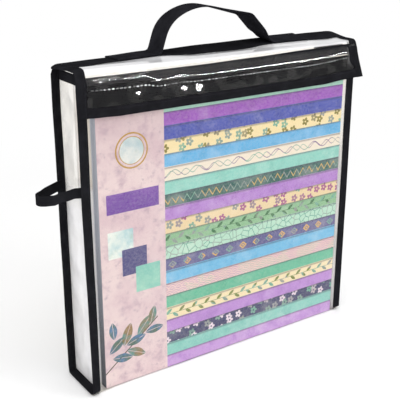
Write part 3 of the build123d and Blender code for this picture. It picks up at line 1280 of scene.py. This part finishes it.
# Painted shade: the front strip of the block's left side is painted grey-blue, darker towards the bottom,
# for the shade that falls there.
shaded_front_strip = y.ramp(sheets_low.y + 12 * MM, sheets_low.y + 9 * MM)
painted_shade_edges = tint(tree, leaf_mask.ramp(0.3, 0.7), ink("8f97aa"), ink("c2c7d4"))
painted_shade_edges = tint(tree, z.ramp(10 * MM, 190 * MM), ink("4c505b"), painted_shade_edges)
toned = tint(tree, shaded_front_strip * x.below(0.0), toned, painted_shade_edges)
uneven = relief(tree, leaf_mask, 0.5, 0.1 * MM)
coat(tree, out, {"Base Color": toned, "Roughness": 0.8, "Normal": uneven})
dress(paper_block, paper_edges, 20)
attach(paper_block, "pad")
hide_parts("pad_sheets")
print("paper", len(tree.nodes), "nodes")

# %% Backing board
board_low, board_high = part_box("pad_board")
board = block("backing_board", (board_low + board_high) / 2, board_high - board_low)
bpy.ops.object.mode_set(mode="EDIT")
bpy.ops.mesh.select_all(action="SELECT")
bpy.ops.mesh.bevel(offset=0.4 * MM, segments=2, affect="EDGES")
bpy.ops.object.mode_set(mode="OBJECT")
grey_board, tree, out = new_material("grey board")
place = put(tree, "TexCoord").outputs["Object"]
fibre = speckle(tree, place, 650, detail=5, rough=0.7)
blotch = speckle(tree, place, 24, detail=3)
pulp = tint(tree, blotch, ink("a59b8e"), ink("b7aea2"))
pulp = tint(tree, fibre.ramp(0.45, 0.7, 0, 0.5), pulp, ink("8b8378"))
coat(tree, out, {"Base Color": pulp, "Roughness": 0.85, "Normal": relief(tree, fibre, 0.4, 0.1 * MM)})
dress(board, grey_board)
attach(board, "pad")
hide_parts("pad_board")
print("board", len(board.data.polygons), "faces")

# %% [markdown]
# ## Printed cover
#
# The cover is a thin printed sheet: a pale pink column at the left, and at the right stripes of
# colour like a fan of sheets. Some stripes carry common motifs: blossoms, leaves, zigzags, diamonds.
# The column holds a ring, plain fields and a sprig. The print is a material that reads the place on
# the cover in millimetres.

# %% Cover sheet
cover_low, cover_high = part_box("pad_cover")
cover_size = cover_high - cover_low
cover_cells = 40
cover_step = cover_size.x / cover_cells
cover_wave, cover_spread = 0.35 * MM, 120 * MM
cover_middle = (cover_low + cover_high) / 2
cover = standing_grid("cover_sheet", cover_middle, cover_size.x, cover_size.z, cover_step, cover_step)
for vertex in cover.data.vertices:
    vertex.co.y -= cover_wave * noise.noise(vertex.co / cover_spread) ** 2
use(cover, "SOLIDIFY", thickness=cover_size.y, offset=0)
print("cover", [round(v, 4) for v in cover_size])

# %% Print: stripes
print_ink, tree, out = new_material("printed cover")
place = put(tree, "TexCoord").outputs["Object"]
x, y, z = split(tree, place)
u = x / MM - cover_low.x / MM
v = z / MM - cover_low.z / MM
tall = (cover_high.z - cover_low.z) / MM
stripes = [
    ("c49cde", "b184d2", "plain"),
    ("8accc5", "79c0ba", "plain"),
    ("3c3f6c", "e9dcea", "blossoms"),
    ("bb8fd9", "a87cca", "plain"),
    ("efe1bd", "75853e", "leaves"),
    ("66bda0", "58b093", "plain"),
    ("eaccca", "a06fb0", "scales"),
    ("6ebce8", "5fb0e0", "plain"),
    ("595892", "e0b658", "diamonds"),
    ("b5ddcd", "4f9f8e", "crackle"),
    ("8abb93", "38744b", "leaves"),
    ("e8d3aa", "a85f92", "blossoms"),
    ("b283d5", "a273c6", "plain"),
    ("195a57", "d9b765", "zigzag"),
    ("8ed2c9", "7fc6bd", "plain"),
    ("eee4d6", "76558e", "vines"),
    ("62b3e7", "52a6dc", "plain"),
    ("f1dfae", "857c2c", "blossoms"),
    ("3c4cb2", "33429f", "plain"),
    ("9850c0", "8a47b0", "plain"),
    ("a5dacc", "93cdbd", "plain"),
    ("575694", "4c4b88", "plain"),
]
stripe = tall / len(stripes)
within = (v / stripe).fract() * stripe
mid = within - stripe / 2
grain = speckle(tree, place, 420, detail=4, rough=0.65)
wash = speckle(tree, place, 30, detail=5, rough=0.62)
bloom = speckle(tree, place, 75, detail=3, rough=0.6)


def by_stripe(colours):
    """One colour for each stripe, from the bottom of the cover up: a ramp with hard steps."""
    made = put(tree, "ValToRGB", {0: v / tall})
    made.color_ramp.interpolation = "CONSTANT"
    while len(made.color_ramp.elements) < len(colours):
        made.color_ramp.elements.new(1.0)
    for number, (step_up, colour) in enumerate(zip(made.color_ramp.elements, colours)):
        step_up.position = number / len(colours)
        step_up.color = colour
    return made.outputs[0]


def on_stripes(wanted):
    """1 on the stripes of one kind, 0 on the others."""
    shown = by_stripe([(1, 1, 1, 1) if kind == wanted else (0, 0, 0, 1) for _, _, kind in stripes])
    return Value(tree, put(tree, "SeparateColor", {0: shown}).outputs[0])


ground = by_stripe([ink(first) for first, _, _ in stripes])
accent = by_stripe([ink(second) for _, second, _ in stripes])
print("stripes", len(stripes), "of", round(stripe, 1), "mm")


# %% Print: shapes of the motifs
def turned(along, across, degrees):
    """The same place in turned directions."""
    cosine, sine = math.cos(math.radians(degrees)), math.sin(math.radians(degrees))
    return along * cosine + across * sine, across * cosine - along * sine


def repeat(pitch):
    """Place within a repeat along the stripe, from its middle."""
    return ((u / pitch).fract() - 0.5) * pitch


def leaf_shape(along, across, long, wide):
    """A pointed leaf round a middle."""
    along = along / long
    return (along * along + across.size() / wide).below(1.0)


def wave_line(pitch, depth):
    """How far a wave along the stripe stands off its middle line."""
    return (u * (2 * math.pi / pitch)).sine() * depth


flat = put(tree, "CombineXYZ", {0: u, 1: v}).outputs[0]
cells = put(tree, "TexVoronoi", {"Vector": flat, "Scale": 0.085}, voronoi_dimensions="2D", feature="F1")
heart_u, heart_v, _ = split(tree, cells.outputs["Position"])
from_u, from_v = u - heart_u, v - heart_v
from_heart = far(from_u, from_v)
lobes = (from_v.math("ARCTAN2", from_u) * 2.5).cosine().size()
cell_hue = Value(tree, put(tree, "SeparateColor", {0: cells.outputs["Color"]}).outputs[0])
cracks = put(
    tree,
    "TexVoronoi",
    {"Vector": flat, "Scale": 0.14},
    voronoi_dimensions="2D",
    feature="DISTANCE_TO_EDGE",
)
leaf_pitch = 8.0
mirrored = (((u / leaf_pitch).floor() / 2.0).fract() * 4.0 - 1.0) * mid
leaf_long, leaf_wide = turned(repeat(leaf_pitch), mirrored - 2.7, 35)
gem = repeat(18.0).size() / 5.0 + mid.size() / 4.2
scale_pitch, scale_tall = 8.0, stripe / 2
scale_row = (v / scale_tall).floor() * 0.5
scale_u = ((u / scale_pitch + scale_row).fract() - 0.5) * scale_pitch
scale_v = (v / scale_tall).fract() * scale_tall
print("repeats of", leaf_pitch, "and", scale_pitch, "mm")

# %% Print: motifs on the stripes
motifs = {
    "blossoms": (from_heart / (lobes * 2.2 + 2.4)).below(1.0) * from_heart.above(1.0),
    "leaves": leaf_shape(leaf_long, leaf_wide, 4.4, 1.7).either(mid.size().below(0.3)),
    "scales": (far(scale_u, scale_v) / 2.3).fract().below(0.22),
    "diamonds": (gem - 0.8).size().below(0.2).either(gem.below(0.3)),
    "crackle": Value(tree, cracks.outputs["Distance"]).below(0.05),
    "zigzag": (mid - repeat(9.0).size() * 1.5 + 3.4).size().below(0.8),
    "vines": (mid - wave_line(26, 3.6)).size().below(0.4).either(
        (mid + wave_line(17, 2.6)).size().below(0.35)),
}
parts = [on_stripes(name) * mask for name, mask in motifs.items()]
motif = parts[0]
for part in parts[1:]:
    motif = motif + part
washed = tint(tree, wash.ramp(0.45, 0.75, 0.0, 0.16), ground, ink("ffffff"))
deep = tint(tree, bloom.ramp(0.42, 0.7, 0.0, 0.8), washed, accent)
ground = tint(tree, on_stripes("plain"), washed, deep)
other_ink = tint(tree, cell_hue, ink("b56d94"), ink("6fae9a"))
petal_ink = tint(tree, cell_hue.ramp(0.45, 0.6), accent, other_ink)
patterned = tint(tree, motif * bloom.ramp(0.25, 0.5, 0.7, 1.0), ground, petal_ink)
shadowed = tint(tree, within.ramp(stripe - 2.4, stripe, 0.0, 0.5), patterned, ink("3a3352"))
stacked = tint(tree, within.ramp(0.15, 0.7, 0.75, 0.0), shadowed, ink("2c2840"))
print("motifs", sorted(motifs))

# %% Print: column and sprig
column = 73.0
flecks = speckle(tree, place, 160, detail=4, rough=0.7)
pink = tint(tree, wash.ramp(0.3, 0.7), ink("d9c1cb"), ink("e8d6da"))
pink = tint(tree, bloom.ramp(0.48, 0.72, 0.0, 0.55), pink, ink("b294ad"))
pink = tint(tree, flecks.ramp(0.54, 0.74, 0.0, 0.5), pink, ink("9c86a0"))
pink = tint(tree, v.ramp(200.0, 305.0, 0.0, 0.3), pink, ink("a88f9e"))
green_leaves = [(14, 45, 40, 12, 5), (36, 45, 15, 12, 5), (20, 29, -10, 12, 5), (58, 51, 5, 11, 4.5),
                (10, 62, 95, 10, 4.5)]
gold_leaves = [(26, 54, 70, 13, 5.5), (46, 59, 50, 13, 5.5), (36, 31, -25, 12, 5), (56, 68, 75, 10, 4.5)]
stem_u, stem_v, stem_end = 4.0, 19.0, 62.0
stem_slope, stem_half = 0.78, 0.8
stem = ((v - stem_v) - (u - stem_u) * stem_slope).size().below(stem_half) * u.below(stem_end)
column_ink = tint(tree, stem, pink, ink("4f4536"))
for leaves, first, last in ((green_leaves, "2f5f47", "2f6f9f"), (gold_leaves, "8a6a2a", "3f8a86")):
    for at_u, at_v, degrees, long, wide in leaves:
        along, across = turned(u - float(at_u), v - float(at_v), degrees)
        leaf = leaf_shape(along, across, long, wide) * across.size().above(0.25)
        leaf_ink = tint(tree, bloom.ramp(0.35, 0.65), ink(first), ink(last))
        column_ink = tint(tree, leaf * 0.92, column_ink, leaf_ink)
print("sprig", len(green_leaves) + len(gold_leaves), "leaves")

# %% Print: fields and ring
sky = tint(tree, wash.ramp(0.32, 0.62), ink("9fcbd6"), ink("eef5f2"))
sky = tint(tree, bloom.ramp(0.55, 0.75, 0.0, 0.5), sky, ink("7fb3a6"))
violet = tint(tree, wash.ramp(0.35, 0.7), ink("6c3fa2"), ink("8457b4"))
mint = tint(tree, wash.ramp(0.35, 0.7), ink("7cc4ba"), ink("a9dccb"))
fields = [
    (22.0, 154.0, 14.0, 14.0, sky),
    (37.0, 133.0, 14.0, 14.0, ink("4c4a84")),
    (52.0, 112.0, 14.0, 14.0, mint),
    (37.0, 196.0, 29.0, 10.0, violet),
]
for mid_u, mid_v, half_u, half_v, colour in fields:
    field = (u - mid_u).size().below(half_u) * (v - mid_v).size().below(half_v)
    column_ink = tint(tree, field, column_ink, colour)
ring_u, ring_v = 37.0, 246.0
outer_ring, inner_ring = 17.0, 13.5
disc = far(u - ring_u, v - ring_v)
column_ink = tint(tree, disc.below(inner_ring) * 0.75, column_ink, sky)
rings = (disc - outer_ring).size().below(0.8).either((disc - inner_ring).size().below(0.4))
column_ink = tint(tree, rings, column_ink, ink("b8903c"))
print("fields", len(fields))

# %% Print: finish
sheet_ink = tint(tree, u.above(column), column_ink, stacked)
aged = tint(tree, grain.ramp(0.35, 0.75, 0.0, 0.1), sheet_ink, ink("fff8f4"))
tooth = relief(tree, grain, 0.2, 0.05 * MM)
coat(tree, out, {"Base Color": aged, "Roughness": 0.5, "Normal": tooth, "Specular IOR Level": 0.1})
dress(cover, print_ink)
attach(cover, "pad")
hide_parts("pad_cover")
print("cover", len(tree.nodes), "nodes")

# %% [markdown]
# ## Sizes
#
# The visual model has to stay in the box of the solids, apart from a little fabric that stands
# proud. The box of the visual model is printed here, and that of the solids at the start.

# %% Sizes and finish
low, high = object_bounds()
print("visual box", [round(v, 4) for v in low], [round(v, 4) for v in high])
